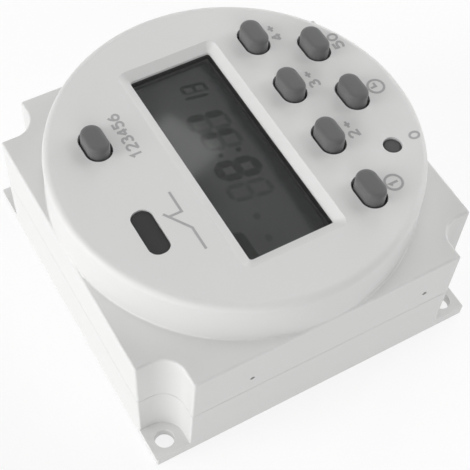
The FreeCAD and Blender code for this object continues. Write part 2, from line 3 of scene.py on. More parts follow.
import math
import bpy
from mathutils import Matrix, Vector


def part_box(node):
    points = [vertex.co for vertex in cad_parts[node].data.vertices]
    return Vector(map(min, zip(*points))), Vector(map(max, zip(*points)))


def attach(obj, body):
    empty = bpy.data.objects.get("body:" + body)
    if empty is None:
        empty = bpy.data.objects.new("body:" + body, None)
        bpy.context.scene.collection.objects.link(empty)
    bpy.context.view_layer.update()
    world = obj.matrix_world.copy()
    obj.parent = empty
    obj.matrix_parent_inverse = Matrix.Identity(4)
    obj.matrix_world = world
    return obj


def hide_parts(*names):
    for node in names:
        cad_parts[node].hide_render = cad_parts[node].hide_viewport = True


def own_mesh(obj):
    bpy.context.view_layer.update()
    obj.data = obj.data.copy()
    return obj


bl_info = {
    "name": "Digital Timer Switch",
    "version": (1, 0, 0),
    "blender": (4, 5, 0),
    "location": "3D View > Sidebar > Timer Switch",
    "description": "Keys, print, display figures, materials and stage of a digital timer switch",
    "category": "Object",
}

import bmesh
import bpy
import numpy as np
from mathutils import Matrix

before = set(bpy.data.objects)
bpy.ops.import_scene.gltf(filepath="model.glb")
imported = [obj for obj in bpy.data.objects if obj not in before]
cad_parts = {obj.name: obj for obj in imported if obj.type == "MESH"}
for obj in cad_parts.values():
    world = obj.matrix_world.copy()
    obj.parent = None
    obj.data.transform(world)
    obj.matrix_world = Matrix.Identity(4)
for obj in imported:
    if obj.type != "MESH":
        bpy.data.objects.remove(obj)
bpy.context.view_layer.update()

# Sizes shared by several pieces, in metres

MM = 0.001
MERGED_WITHIN = 0.0001 * MM  # points of a piece that lie nearer than this become one
FACE_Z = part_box("front_cover")[1].z
GLASS_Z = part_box("display_front_glass")[1].z

# Keys

KEY_NAMES = ("manual", "program", "day", "hour", "minute", "clock", "recall", "reset")
SUNK_KEY = "reset"
SUNK_EDGE = 0.4 * MM
FLANGE_W = 0.6 * MM  # how far a key's flange stands out from its cap
FLANGE_DEPTH = 1.95 * MM  # from the face down to the top of the flange
SKIRT_WALL = 0.3 * MM
ROUNDING_LIMIT = 0.8  # widest rounding of a crown, as a share of the cap's half width
ROUNDING_DEPTH = 0.85  # depth of the rounding as a share of its width
ROUNDING_POWER = 0.8  # of the cosine and sine along the rounding: 1 is an ellipse and less is squarer
ROUNDING_POINTS = 14
FLAT_START = 0.75  # first ring inside the rounding, as a share of the flat's half width
FLAT_RINGS = 4
END_POINTS = 25  # points round each end of a stadium outline
SIDE_POINTS = 7  # points along each of its sides, between the ends
CROWN_SHARP = 50.0  # degrees over which an edge of a key stays sharp

# Print

PRINT_SUNK = 0.002 * MM  # how far the print reaches into the face, so that no gap shows
PRINT_STEP = 0.0004 * MM  # how much higher each stroke lies than the one before it
SHARPEST_BEND = 0.9  # least length of the sum of a bend's two directions, so that no mitre grows long
RING_POINTS = 41  # points of a printed ring, the last on the first

# Text, start x, middle y, height share, glyph width factor and pitch, in millimetres on the face
PRINTED = (
    ("123456", 4.6, 14.55, 1.0, 2.0, 1.6),
    ("1", -18.35, -17.5, 0.85, 1.7, 1.0),
    ("2+", -7.6, -17.3, 0.95, 2.2, 2.0),
    ("3+", 4.1, -17.3, 0.95, 2.2, 2.0),
    ("4+", 15.6, -17.1, 0.95, 2.2, 2.0),
    ("0", -12.2, -25.6, 0.95, 2.2, 1.0),
    ("50", 9.4, -25.3, 0.95, 2.4, 1.9),
)
# Rings round the 1 and the clock hands: middle x and y and radius
RINGS = ((-17.7, -17.5, 1.4), (-0.3, -25.8, 1.35))
# Clock hands and the two strokes of the contact sign
SIGNS = (
    ((-0.3, -24.9), (-0.3, -25.8), (0.5, -25.8)),
    ((-14.9, 13.6), (-10.7, 13.6), (-6.6, 16.3)),
    ((-7.4, 15.6), (-7.4, 13.6), (-3.4, 13.6)),
)

# Display, in millimetres unless a comment says otherwise

# How far the lens, 1 mm thick, bends the view of what lies under it, taken back here
LENS_SHIFT = np.array([-0.3, 0.17])
# Segments of a figure: start and end in shares of its width and height
SEGMENTS = {
    "a": ((0, 1), (1, 1)),
    "b": ((1, 1), (1, 0.5)),
    "c": ((1, 0.5), (1, 0)),
    "d": ((1, 0), (0, 0)),
    "e": ((0, 0), (0, 0.5)),
    "f": ((0, 0.5), (0, 1)),
    "g": ((0, 0.5), (1, 0.5)),
}
# Figures: segments, left x, foot y, width, height, bar thickness
LIT = (
    ("abcdefg", -3.8, -2.4, 2.8, 5.9, 1.2),
    ("bc", 2.2, -2.7, 2.9, 5.6, 1.25),
    ("bc", 6.25, -2.9, 2.9, 6.0, 1.25),
    ("bc", 12.0, -2.6, 1.5, 3.7, 0.5),
    ("abcdg", 14.5, -3.0, 1.5, 3.7, 0.5),
)
UNLIT = (
    ("abcdefg", -8.2, -2.2, 2.7, 6.4, 0.85),
    ("adefg", 2.2, -2.7, 2.9, 5.6, 0.8),
    ("adefg", 6.25, -2.9, 2.9, 6.0, 0.8),
    ("ef", 14.5, -3.0, 1.5, 3.7, 0.5),
)
BAR_END_GAP = 0.12  # gap left at each end of a bar, as a share of its thickness
OVAL_POINTS = 32  # points of a round or oval mark
# Round and oval marks: middle x and y, half width and half height
MARKS = ((1.3, -1.33, 0.45, 0.45), (1.5, 1.71, 0.42, 0.42))
FAINT_MARKS = ((-11.1, 2.6, 0.7, 0.6), (-15.4, 3.05, 0.7, 0.6))
# Dark round-ended bars on the glass, in the lit figures' colour: middle x and y, half length and end radius
BARS = ((-15.2, 7.2, 2.7, 1.0),)
# A shadow is this much wider in all than its bar, and this much longer at each end
SHADOW_WIDER = 0.2
SHADOW_LONGER = 0.3
# Heights over the glass and thickness, in metres: what shows dark lies over its shadow, the faint lowest
LIT_LIFT = 0.015 * MM
SHADOW_LIFT = 0.008 * MM
FAINT_LIFT = 0.002 * MM
FIGURE_T = 0.02 * MM
# Painted shade along the display's lower edge, where the window's edge shades it, in metres: how far it
# leans with x, how far it waves, and the heights between which it fades out
PAINTED_SHADE_LEAN = 0.03
PAINTED_SHADE_WAVE = 2.0 * MM
PAINTED_SHADE_DARKEST = -4.0 * MM
PAINTED_SHADE_END = -2.0 * MM

# Stage, in metres

FLOOR_HALF = 3.0
FLOOR_T = 0.01
# Large square lamps: name, setting that holds the power, this lamp's share of it, and place
LAMPS = (
    ("side_light", "side_power", 1.0, (0.15, 1.125, 0.33)),
    ("back_light", "back_power", 1.0, (0.0, -1.125, 0.525)),
    ("right_light", "right_power", 1.0, (0.93, -0.93, 0.45)),
    ("left_fill", "fill_power", 0.29, (-1.125, 0.15, 0.525)),
    ("top_fill", "fill_power", 0.32, (0.0, 0.001, 1.35)),
    ("near_fill", "fill_power", 0.15, (-0.75, 0.75, 0.45)),
    ("far_fill", "fill_power", 0.2, (0.9, 0.525, 0.525)),
)
LAMP_SIZE = (0.75, 0.75)
LAMP_AIM = (0.0, 0.0, 0.015)
# Small level card that the display's lens mirrors as a long patch
CARD_SIZE = (0.041, 0.03)
CARD_PLACE = (0.2817, -0.1467, 0.43)
CARD_TURN = math.radians(20)  # about the vertical
SENSOR_MM = 36.0
CLIP_NEAR = 0.01
CLIP_FAR = 20.0
# Camera axes as columns and its place, found by fitting the case's corners and circles
CAMERA_PLACE = (
    (-0.49723279, 0.73114767, -0.46710025, -0.09743),
    (-0.86622732, -0.38788979, 0.31494719, 0.06444),
    (0.04908948, 0.56121707, 0.82621161, 0.17717),
    (0.0, 0.0, 0.0, 1.0),
)


def linear(code):
    """Linear red, green, blue and alpha 1 from an sRGB hex colour."""
    parts = np.array([int(code[i : i + 2], 16) for i in (1, 3, 5)]) / 255
    low = parts / 12.92
    high = ((parts + 0.055) / 1.055) ** 2.4
    return tuple(float(v) for v in np.where(parts <= 0.04045, low, high)) + (1.0,)


def lighter(tint, factor):
    """A linear colour with its red, green and blue multiplied, and alpha 1."""
    return [min(1.0, v * factor) for v in tint[:3]] + [1.0]


# Settings


def length(name, description, default, low=0.0, high=1.0):
    """A size in metres for the panel."""
    return bpy.props.FloatProperty(
        name=name, description=description, default=default, min=low, max=high, unit="LENGTH", precision=5
    )


def colour(name, description, code):
    """A colour for the panel, given as sRGB hex."""
    return bpy.props.FloatVectorProperty(
        name=name, description=description, default=linear(code), size=4, subtype="COLOR", min=0.0, max=1.0
    )


def power(name, description, default):
    """The power of a lamp in watts for the panel."""
    return bpy.props.FloatProperty(
        name=name, description=description, default=default, min=0.0, unit="POWER"
    )


class TimerCaseSettings(bpy.types.PropertyGroup):
    """Finish of the moulded case."""

    plastic: colour("Case plastic", "Colour of the white moulded case", "#D1D1D0")
    grain: length("Mould grain", "Width of one bump of the mould grain", 0.35 * MM)


class TimerKeySettings(bpy.types.PropertyGroup):
    """Shape and finish of the rubber keys."""

    silicone: colour("Silicone", "Colour of the seven large keys", "#5A5A5A")
    dark_silicone: colour("Dark silicone", "Colour of the small sunk key", "#4A4A4A")
    edge: length("Key rounding", "How far the crown rounds down at its edge", 0.95 * MM)
    crown: length("Crown along", "How much higher the middle stands than the ends", 0.08 * MM)
    crown_across: length("Crown across", "How much higher the middle stands than the sides", 0.08 * MM)


class TimerPrintSettings(bpy.types.PropertyGroup):
    """Marks printed on the face."""

    ink: colour("Ink", "Colour of the print", "#9C9C9C")
    height: length("Figure height", "Height of a printed figure", 1.65 * MM)
    stroke: length("Stroke", "Width of a printed line", 0.4 * MM)
    thickness: length("Ink thickness", "How far the print stands proud", 0.012 * MM)


class TimerDisplaySettings(bpy.types.PropertyGroup):
    """Glass and figures of the display."""

    glass: colour("Display ground", "Colour of the display behind the figures", "#616261")
    # Painted shade: the display is drawn this dark along its lower edge, where the window's edge shades it
    painted_shade: colour("Display border", "Colour of the display along its lower edge", "#1C1D1C")
    figure: colour("Lit figure", "Colour of a figure that shows", "#222322")
    shadow: colour("Figure shadow", "Colour of the soft shadow round a figure that shows", "#383938")
    ghost: colour("Unlit figure", "Colour of a figure that barely shows", "#434443")
    slant: bpy.props.FloatProperty(
        name="Slant", description="Lean of the figures", default=math.radians(9.5), unit="ROTATION"
    )


class TimerStageSettings(bpy.types.PropertyGroup):
    """Floor, light and camera."""

    floor: colour("Floor", "Colour of the pale floor", "#7C7C7C")
    glow: bpy.props.FloatProperty(
        name="Floor glow",
        description="Light that the floor gives, as a lit table does",
        default=0.76,
        min=0.0,
    )
    ambient: bpy.props.FloatProperty(
        name="Ambient", description="Strength of the light from all round", default=0.1, min=0.0
    )
    side_power: power("Side light", "Power of the light beside the manual key", 10.9)
    back_power: power("Back light", "Power of the light beside the lower keys", 7.3)
    right_power: power("Right light", "Power of the light beyond the recall key", 6.2)
    fill_power: power("Fill lights", "Power of the four weak lights together", 12.5)
    glint_power: power("Glint", "Power of the small card that the display's lens mirrors", 0.004)
    lens: bpy.props.FloatProperty(
        name="Lens", description="Focal length of the camera", default=92.43, min=1.0, unit="CAMERA"
    )


# Materials: the tools that they share

# Sockets of the Mix node when it mixes colours
MIX_FACTOR = 0
MIX_FIRST = 6
MIX_SECOND = 7
MIX_RESULT = 2
BUMP_DEPTH = 0.1  # depth of a bump as a share of its width


def add_node(tree, kind, values=None, links=None, **settings):
    """Adds one node, sets its own settings and sockets, and links sockets of other nodes to it."""
    made = tree.nodes.new(kind)
    for name, value in settings.items():
        setattr(made, name, value)
    for name, value in (values or {}).items():
        made.inputs[name].default_value = value
    for name, source in (links or {}).items():
        tree.links.new(source, made.inputs[name])
    return made


def new_material(name):
    """Empty node material, its tree, and the object coordinates that its patterns read."""
    material = bpy.data.materials.new(name)
    material.use_nodes = True
    tree = material.node_tree
    tree.nodes.clear()
    coordinates = add_node(tree, "ShaderNodeTexCoord")
    return material, tree, coordinates.outputs["Object"]


def mottled(name, base, other, *, patch, grain, roughness, ior, bump=0.1, spread=0.1, sockets=None):
    """Surface with a soft change between two colours, a fine grain in its height and an uneven gloss.

    patch and grain are the widths in metres of one patch of colour and one bump. bump is the strength of the
    grain and spread is how much the roughness varies. sockets are values for the shader's other sockets.
    """
    material, tree, where = new_material(name)
    patches = add_node(
        tree, "ShaderNodeTexNoise", {"Scale": 1 / patch, "Detail": 3.0, "Roughness": 0.55}, {"Vector": where}
    )
    tint = add_node(
        tree,
        "ShaderNodeMix",
        {MIX_FIRST: base, MIX_SECOND: other},
        {MIX_FACTOR: patches.outputs["Fac"]},
        data_type="RGBA",
    )
    grains = add_node(
        tree, "ShaderNodeTexNoise", {"Scale": 1 / grain, "Detail": 2.0, "Roughness": 0.5}, {"Vector": where}
    )
    relief = add_node(
        tree,
        "ShaderNodeBump",
        {"Strength": bump, "Distance": grain * BUMP_DEPTH},
        {"Height": grains.outputs["Fac"]},
    )
    gloss = add_node(
        tree,
        "ShaderNodeMapRange",
        {"To Min": roughness - spread / 2, "To Max": roughness + spread / 2},
        {"Value": patches.outputs["Fac"]},
    )
    shader = add_node(
        tree,
        "ShaderNodeBsdfPrincipled",
        {"IOR": ior, **(sockets or {})},
        {
            "Base Color": tint.outputs[MIX_RESULT],
            "Roughness": gloss.outputs["Result"],
            "Normal": relief.outputs["Normal"],
        },
    )
    add_node(tree, "ShaderNodeOutputMaterial", links={"Surface": shader.outputs["BSDF"]})
    return material


def dress(material, *nodes):
    """Gives CAD nodes a material."""
    for name in nodes:
        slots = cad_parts[name].material_slots
        if slots:
            for slot in slots:
                slot.material = material
        else:
            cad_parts[name].data.materials.append(material)


# Materials: one function for each finish


def white_abs(settings):
    """White ABS, injection moulded in a spark-eroded tool: matt satin with a broad, soft highlight.

    The real grain of 0.05 mm is too fine to show, so it is drawn several times coarser and shallow.
    """
    base = settings.plastic
    return mottled(
        "abs_white_moulded",
        base,
        lighter(base, 1.03),
        patch=9 * MM,
        grain=settings.grain,
        roughness=0.52,
        ior=1.53,
        bump=0.12,
        spread=0.06,
    )


def grey_silicone(settings):
    """Silicone rubber, compression moulded: dull, with a soft pale bloom where it turns away."""
    base = settings.silicone
    return mottled(
        "silicone_grey",
        base,
        lighter(base, 1.08),
        patch=1.5 * MM,
        grain=0.2 * MM,
        roughness=0.62,
        ior=1.41,
        sockets={"Sheen Weight": 0.25, "Sheen Roughness": 0.5},
    )


def dark_silicone(settings):
    """Darker silicone rubber of the sunk key, compression moulded: dull, and deep grey in its hole."""
    dark = settings.dark_silicone
    pale = lighter(dark, 1.1)
    return mottled("silicone_dark_grey", dark, pale, patch=1.2 * MM, grain=0.2 * MM, roughness=0.6, ior=1.41)


def carbon():
    """Conductive carbon of the contact pills, pressed: dead black and slightly rough."""
    dark = linear("#161616")
    pale = linear("#1E1E1E")
    return mottled("carbon_pill", dark, pale, patch=1.0 * MM, grain=0.1 * MM, roughness=0.8, ior=1.5)


def grey_ink(settings):
    """Pad-printed ink: flat grey, a little uneven where it is thin."""
    base = settings.ink
    return mottled(
        "ink_grey", base, lighter(base, 1.2), patch=0.4 * MM, grain=0.1 * MM, roughness=0.6, ior=1.5
    )


def crystal(name, base, code):
    """Liquid crystal behind a polariser: smooth, nearly black where lit and a faint shadow elsewhere."""
    return mottled(
        name, base, linear(code), patch=1 * MM, grain=0.3 * MM, roughness=0.35, ior=1.5, bump=0.0
    )


def polarised_glass(settings):
    """Polarised glass, rolled film on float glass: dark grey and slightly hazy, darker along its lower edge.

    Along its lower edge the colour is painted darker, as painted shade where the window's edge shades the
    display. The height that counts for this painted shade is y plus the lean times x, plus the wave times a
    slow noise. Each multiply-add node gives its first socket times its second, plus its third.
    """
    material, tree, where = new_material("polarised_glass")
    clouds = add_node(tree, "ShaderNodeTexNoise", {"Scale": 1 / (6 * MM), "Detail": 2.0}, {"Vector": where})
    axes = add_node(tree, "ShaderNodeSeparateXYZ", links={"Vector": where})
    leaning = add_node(
        tree,
        "ShaderNodeMath",
        {1: PAINTED_SHADE_LEAN},
        {0: axes.outputs["X"], 2: axes.outputs["Y"]},
        operation="MULTIPLY_ADD",
    )
    wavy = add_node(
        tree,
        "ShaderNodeMath",
        {1: PAINTED_SHADE_WAVE},
        {0: clouds.outputs["Fac"], 2: leaning.outputs["Value"]},
        operation="MULTIPLY_ADD",
    )
    # How far the painted shade has faded: 0 where it is darkest, 1 where it ends
    share = add_node(
        tree,
        "ShaderNodeMapRange",
        {"From Min": PAINTED_SHADE_DARKEST, "From Max": PAINTED_SHADE_END},
        {"Value": wavy.outputs["Value"]},
        interpolation_type="SMOOTHSTEP",
    )
    cloudy = add_node(
        tree,
        "ShaderNodeMix",
        {MIX_FIRST: settings.glass, MIX_SECOND: linear("#505150")},
        {MIX_FACTOR: clouds.outputs["Fac"]},
        data_type="RGBA",
    )
    # Painted shade colour along the lower edge, fading into the cloudy ground above it
    tint = add_node(
        tree,
        "ShaderNodeMix",
        {MIX_FIRST: settings.painted_shade},
        {MIX_FACTOR: share.outputs["Result"], MIX_SECOND: cloudy.outputs[MIX_RESULT]},
        data_type="RGBA",
    )
    shader = add_node(
        tree,
        "ShaderNodeBsdfPrincipled",
        {"IOR": 1.5, "Roughness": 0.35},
        {"Base Color": tint.outputs[MIX_RESULT]},
    )
    add_node(tree, "ShaderNodeOutputMaterial", links={"Surface": shader.outputs["BSDF"]})
    return material


def clear_acrylic():
    """Clear acrylic, cast and polished: sharp reflections over the dark display.

    A faint milky veil of fine scratches keeps the deepest shadows under it from going black.
    """
    material, tree, where = new_material("acrylic_clear")
    haze = add_node(tree, "ShaderNodeTexNoise", {"Scale": 1 / (8 * MM), "Detail": 2.0}, {"Vector": where})
    gloss = add_node(
        tree, "ShaderNodeMapRange", {"To Min": 0.03, "To Max": 0.07}, {"Value": haze.outputs["Fac"]}
    )
    shader = add_node(
        tree,
        "ShaderNodeBsdfPrincipled",
        {"Base Color": linear("#F6F8F7"), "IOR": 1.49, "Transmission Weight": 0.98},
        {"Roughness": gloss.outputs["Result"]},
    )
    add_node(tree, "ShaderNodeOutputMaterial", links={"Surface": shader.outputs["BSDF"]})
    return material


def holder_plastic():
    """Glass-filled plastic of the display's frame, moulded: dark grey satin."""
    dark = linear("#3A3A3A")
    pale = linear("#424242")
    return mottled("holder_dark", dark, pale, patch=3 * MM, grain=0.3 * MM, roughness=0.5, ior=1.5)


def dark_foam():
    """Foam of the display's backing, die cut: dark, open and quite dull."""
    dark = linear("#2A2A2A")
    pale = linear("#363636")
    return mottled("foam_dark", dark, pale, patch=0.6 * MM, grain=0.3 * MM, roughness=0.9, ior=1.4, bump=0.5)


def black_elastomer():
    """Layered rubber of the contact strips, sliced: black with fine lighter specks."""
    dark = linear("#121212")
    pale = linear("#1C1C1C")
    return mottled("elastomer_black", dark, pale, patch=0.4 * MM, grain=0.1 * MM, roughness=0.7, ior=1.5)


def smoked_polycarbonate():
    """Smoked polycarbonate of the lamp's lens, moulded: nearly black while unlit, with an even sheen."""
    return mottled(
        "smoked_lens",
        linear("#2A2A2A"),
        linear("#2E2E2E"),
        patch=3 * MM,
        grain=0.3 * MM,
        roughness=0.4,
        ior=1.58,
        bump=0.05,
    )


def lamp_epoxy():
    """Tinted epoxy of the lamp, cast: deep red and glossy."""
    dark = linear("#A8302A")
    pale = linear("#B8403A")
    return mottled("lamp_epoxy", dark, pale, patch=1 * MM, grain=0.3 * MM, roughness=0.2, ior=1.5)


def metal(name, dark, pale, patch, roughness):
    """Bare metal with a fine grain, at the shader's own default IOR."""
    return mottled(
        name,
        linear(dark),
        linear(pale),
        patch=patch,
        grain=0.2 * MM,
        roughness=roughness,
        ior=1.5,
        sockets={"Metallic": 1.0},
    )


def tinned_brass():
    """Brass, stamped and tinned: warm bright metal with a soft gloss."""
    return metal("tinned_brass", "#C9C6BE", "#D8D6D0", 2 * MM, 0.28)


def zinc_steel():
    """Steel, zinc plated: cool pale metal, a little duller than tin."""
    return metal("zinc_plated_steel", "#AEB0B2", "#BFC1C3", 1 * MM, 0.35)


def lit_table(settings):
    """Extruded matt acrylic, lit from below: even and pale, so the object stands in almost no shadow."""
    return mottled(
        "table_pale",
        settings.floor,
        linear("#808080"),
        patch=0.2,
        grain=2 * MM,
        roughness=0.9,
        ior=1.45,
        bump=0.0,
        sockets={"Emission Color": (1.0, 1.0, 1.0, 1.0), "Emission Strength": settings.glow},
    )


# Finishes of the boards: name, two colours, patch and grain in millimetres, roughness, IOR and CAD nodes
BOARD_FINISHES = (
    # Glass-fibre laminate under screen-printed solder mask: glossy green, a little cloudy
    ("solder_mask_green", "#1E6B3C", "#2A7A48", 2.5, 0.4, 0.35, 1.5, ("control_board", "power_board")),
    # Epoxy, transfer moulded: black with a dull slate grain
    ("epoxy_black", "#1B1B1C", "#242425", 1.5, 0.2, 0.55, 1.5, ("controller_chip", "rectifier")),
    # Glass-filled nylon, moulded: black satin
    ("header_black", "#202020", "#2A2A2A", 2.0, 0.3, 0.5, 1.5, ("link_header", "link_socket")),
    # Polyester cover, moulded: blue with a clear gloss
    ("relay_blue", "#1F3F7A", "#26488A", 5.0, 0.4, 0.3, 1.5, ("relay",)),
    # Epoxy-dipped film block: warm yellow with a soft gloss
    ("film_yellow", "#D8B23A", "#E0BC4A", 5.0, 0.5, 0.35, 1.5, ("film_capacitor",)),
    # Heat-shrunk vinyl sleeve: dark blue grey with a soft gloss
    ("sleeve_dark", "#2B2F45", "#353A52", 4.0, 0.5, 0.35, 1.5, ("filter_capacitor",)),
    # Epoxy-coated disc: blue and glossy
    ("disc_blue", "#2C4F9A", "#3459A6", 2.0, 0.3, 0.3, 1.5, ("varistor",)),
    # Cement-coated ceramic: dull grey green
    ("ceramic_green", "#5E7F66", "#6A8C72", 1.5, 0.3, 0.6, 1.6, ("fuse_resistor",)),
)


# Shapes


def ring_quads(rows, columns):
    """Corner numbers of the quads of a grid whose columns close on themselves."""
    row = np.arange(rows - 1)[:, None]
    column = np.arange(columns)[None, :]
    after = (column + 1) % columns
    corners = [row * columns + column, row * columns + after]
    corners += [(row + 1) * columns + after, (row + 1) * columns + column]
    return np.stack(corners, axis=-1).reshape(-1, 4)


def arc(cx, cy, rx, ry, start, end, count=20):
    """Points of an ellipse's arc: centre plus radius times the cosine and sine of evenly stepped degrees."""
    turn = np.radians(np.linspace(start, end, count))
    return np.stack([cx + rx * np.cos(turn), cy + ry * np.sin(turn)], axis=-1)


def line(*points):
    """Points of a bent line."""
    return np.array(points, float)


def stroke(path, width, low, high):
    """Ribbon carried along a flat path, closed where the path ends at its start.

    At each point the path's normal is the mean direction of its two neighbours turned a quarter, and the
    ribbon's four corners lie half a width to each side of the point, at the low and the high level. At a
    bend they lie further out, by one over the cosine of half its angle.
    """
    closed = np.allclose(path[0], path[-1])
    if closed:
        path = path[:-1]
        ahead = np.roll(path, -1, axis=0) - np.roll(path, 1, axis=0)
        mitre = np.ones(len(path))
    else:
        steps = np.diff(path, axis=0)
        steps = steps / np.linalg.norm(steps, axis=1)[:, None]
        before = np.vstack([steps[:1], steps])
        after = np.vstack([steps, steps[-1:]])
        ahead = before + after
        mitre = 2 / np.maximum(np.linalg.norm(ahead, axis=1), SHARPEST_BEND)
    ahead = ahead / np.linalg.norm(ahead, axis=1)[:, None]
    side = np.stack([-ahead[:, 1], ahead[:, 0]], axis=-1) * (width / 2 * mitre)[:, None]
    count = len(path)
    points = np.zeros((count, 4, 3))
    points[:, 0, :2] = points[:, 3, :2] = path - side
    points[:, 1, :2] = points[:, 2, :2] = path + side
    points[:, :2, 2] = low
    points[:, 2:, 2] = high
    quads = ring_quads(count, 4)
    first_of_last = 4 * (count - 1)
    if closed:
        last = ring_quads(2, 4)
        more = np.where(last < 4, last + first_of_last, last - 4)
    else:
        more = np.array([[0, 1, 2, 3], [3, 2, 1, 0]]) + np.array([[0], [first_of_last]])
    return points.reshape(-1, 3), [tuple(q) for q in np.vstack([quads, more]).tolist()]


def prism(outline, low, high):
    """Flat outline carried straight up from low to high, with both ends closed."""
    count = len(outline)
    points = np.zeros((2, count, 3))
    points[:, :, :2] = outline
    points[0, :, 2] = low
    points[1, :, 2] = high
    faces = [tuple(q) for q in ring_quads(2, count).tolist()]
    faces.append(tuple(range(count - 1, -1, -1)))
    faces.append(tuple(range(count, 2 * count)))
    return points.reshape(-1, 3), faces


def joined(shapes):
    """Several lots of points and faces as one."""
    points = []
    faces = []
    start = 0
    for some_points, some_faces in shapes:
        points.append(some_points)
        faces += [tuple(corner + start for corner in face) for face in some_faces]
        start += len(some_points)
    return np.vstack(points), faces


def add_piece(name, shape, body, material, replaced=(), sharp=40.0):
    """Object from points and faces, riding on a body.

    Doubles are merged, faces are turned outwards, and all is smooth but for edges over sharp degrees.
    """
    points, faces = shape
    mesh = bpy.data.meshes.new(name)
    mesh.from_pydata(points.tolist(), [], faces)
    work = bmesh.new()
    work.from_mesh(mesh)
    bmesh.ops.remove_doubles(work, verts=work.verts, dist=MERGED_WITHIN)
    bmesh.ops.recalc_face_normals(work, faces=work.faces)
    work.to_mesh(mesh)
    work.free()
    mesh.shade_smooth()
    mesh.set_sharp_from_angle(angle=math.radians(sharp))
    mesh.materials.append(material)
    made = bpy.data.objects.new(name, mesh)
    bpy.context.scene.collection.objects.link(made)
    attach(made, body)
    if replaced:
        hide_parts(*replaced)
    return made


# Shapes of the keys


def stadium_rows(straight, distances):
    """x and y of stadium outlines about the origin, one row for each distance from the middle line.

    The outline at distance r is the two half circles of radius r, their centres straight to each side of the
    origin along x, joined by straight runs.
    """
    half = np.linspace(-90, 90, END_POINTS)
    runs = np.linspace(1, -1, SIDE_POINTS + 2)[1:-1]
    side = np.full(SIDE_POINTS, 90.0)
    end = np.ones(END_POINTS)
    angle = np.radians(np.concatenate([half, side, half + 180, -side]))[None, :]
    shift = np.concatenate([end, runs, -end, runs[::-1]]) * straight
    radius = np.array(distances)[:, None]
    return shift[None, :] + radius * np.cos(angle), radius * np.sin(angle)


def skirt_shape(name):
    """Thin skirt between the keypad mat and the foot of a key.

    The four corners of its wall's section are carried round a stadium outline: wide on the mat, as wide as
    the key's flange at the top.
    """
    low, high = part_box("web_" + name)
    key_low, key_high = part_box("key_" + name)
    centre = (low + high) / 2
    foot_r = (high.y - low.y) / 2
    top_r = (key_high.y - key_low.y) / 2
    corners_r = [foot_r, top_r, top_r - SKIRT_WALL, foot_r - SKIRT_WALL, foot_r]
    corners_z = np.array([low.z, high.z, high.z, low.z, low.z])[:, None]
    x, y = stadium_rows((high.x - low.x) / 2 - foot_r, corners_r)
    points = np.stack([centre.x + x, centre.y + y, corners_z + 0 * x], axis=-1)
    return points.reshape(-1, 3), [tuple(q) for q in ring_quads(*x.shape).tolist()]


def key_shape(node, edge, crown, crown_across):
    """Rubber key: one profile carried round a stadium outline.

    The profile runs from the foot's middle out to the flange, up, in to the cap and up its side, then
    over a quarter of a superellipse to the crown. The crown falls by crown times the square of the share of
    the half length, and by crown_across times the square of the share of the half width.
    """
    low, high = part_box(node)
    centre = (low + high) / 2
    flange_r = (high.y - low.y) / 2
    straight = (high.x - low.x) / 2 - flange_r
    cap_r = flange_r - FLANGE_W
    flange_top = FACE_Z - FLANGE_DEPTH
    rounding = min(edge, ROUNDING_LIMIT * cap_r)
    turn = np.linspace(0, math.pi / 2, ROUNDING_POINTS)
    over_r = cap_r - rounding * (1 - np.cos(turn) ** ROUNDING_POWER)
    over_z = high.z - rounding * ROUNDING_DEPTH * (1 - np.sin(turn) ** ROUNDING_POWER)
    flat_r = np.linspace(FLAT_START, 0.0, FLAT_RINGS) * (cap_r - rounding)
    foot_r = [0.0, flange_r, flange_r, cap_r]
    foot_z = [low.z, low.z, flange_top, flange_top]
    profile_r = np.concatenate([foot_r, over_r, flat_r])
    profile_z = np.concatenate([foot_z, over_z, np.full(FLAT_RINGS, high.z)])[:, None]
    x, y = stadium_rows(straight, profile_r)
    half_length = straight + cap_r
    fall = crown * (x / half_length) ** 2 + crown_across * (y / cap_r) ** 2
    on_cap = (np.arange(len(profile_r)) >= len(foot_r))[:, None]
    z = profile_z - np.where(on_cap, fall, 0.0)
    points = np.stack([centre.x + x, centre.y + y, z], axis=-1)
    return points.reshape(-1, 3), [tuple(q) for q in ring_quads(*x.shape).tolist()]


# Shapes of the print

# Strokes of each printed sign, in shares of its width and height
GLYPHS = {
    "0": [arc(0.3, 0.5, 0.28, 0.5, 0, 360, 33)],
    "1": [line((0.12, 0.78), (0.36, 1.0), (0.36, 0.0))],
    "2": [
        np.vstack([arc(0.3, 0.72, 0.27, 0.28, 165, -35, 14), line((0.03, 0.0))]),
        line((0.0, 0.0), (0.6, 0.0)),
    ],
    "3": [arc(0.27, 0.76, 0.26, 0.24, 150, -95, 12), arc(0.27, 0.26, 0.3, 0.26, 95, -150, 14)],
    "4": [line((0.44, 0.0), (0.44, 1.0)), line((0.44, 1.0), (0.0, 0.3)), line((0.0, 0.3), (0.62, 0.3))],
    "5": [line((0.55, 1.0), (0.1, 1.0), (0.06, 0.52)), arc(0.27, 0.33, 0.3, 0.33, 130, -150, 14)],
    "6": [
        arc(0.3, 0.3, 0.28, 0.3, 0, 360, 29),
        line((0.03, 0.36), (0.1, 0.62), (0.26, 0.86), (0.46, 1.0)),
    ],
    "+": [line((0.05, 0.5), (0.65, 0.5)), line((0.35, 0.2), (0.35, 0.8))],
}


def printed_paths(tall):
    """Paths of every printed stroke in millimetres: figures, rings, clock hands and contact sign."""
    paths = []
    for text, x, y, share, wide, pitch in PRINTED:
        size = np.array([wide, share * tall])
        for number, sign in enumerate(text):
            place = np.array([x + number * pitch, y - share * tall / 2])
            paths += [path * size + place for path in GLYPHS[sign]]
    paths += [arc(x, y, radius, radius, 0, 360, RING_POINTS) for x, y, radius in RINGS]
    paths += [line(*points) for points in SIGNS]
    return paths


def print_shapes(settings):
    """Ribbons along all printed paths, each a little higher than the last, so that no two share a plane."""
    low = FACE_Z - PRINT_SUNK
    high = FACE_Z + settings.thickness
    paths = printed_paths(settings.height / MM)
    tops = high + PRINT_STEP * np.arange(len(paths))
    return [stroke(path * MM, settings.stroke, low, top) for path, top in zip(paths, tops)]


# Shapes of the display


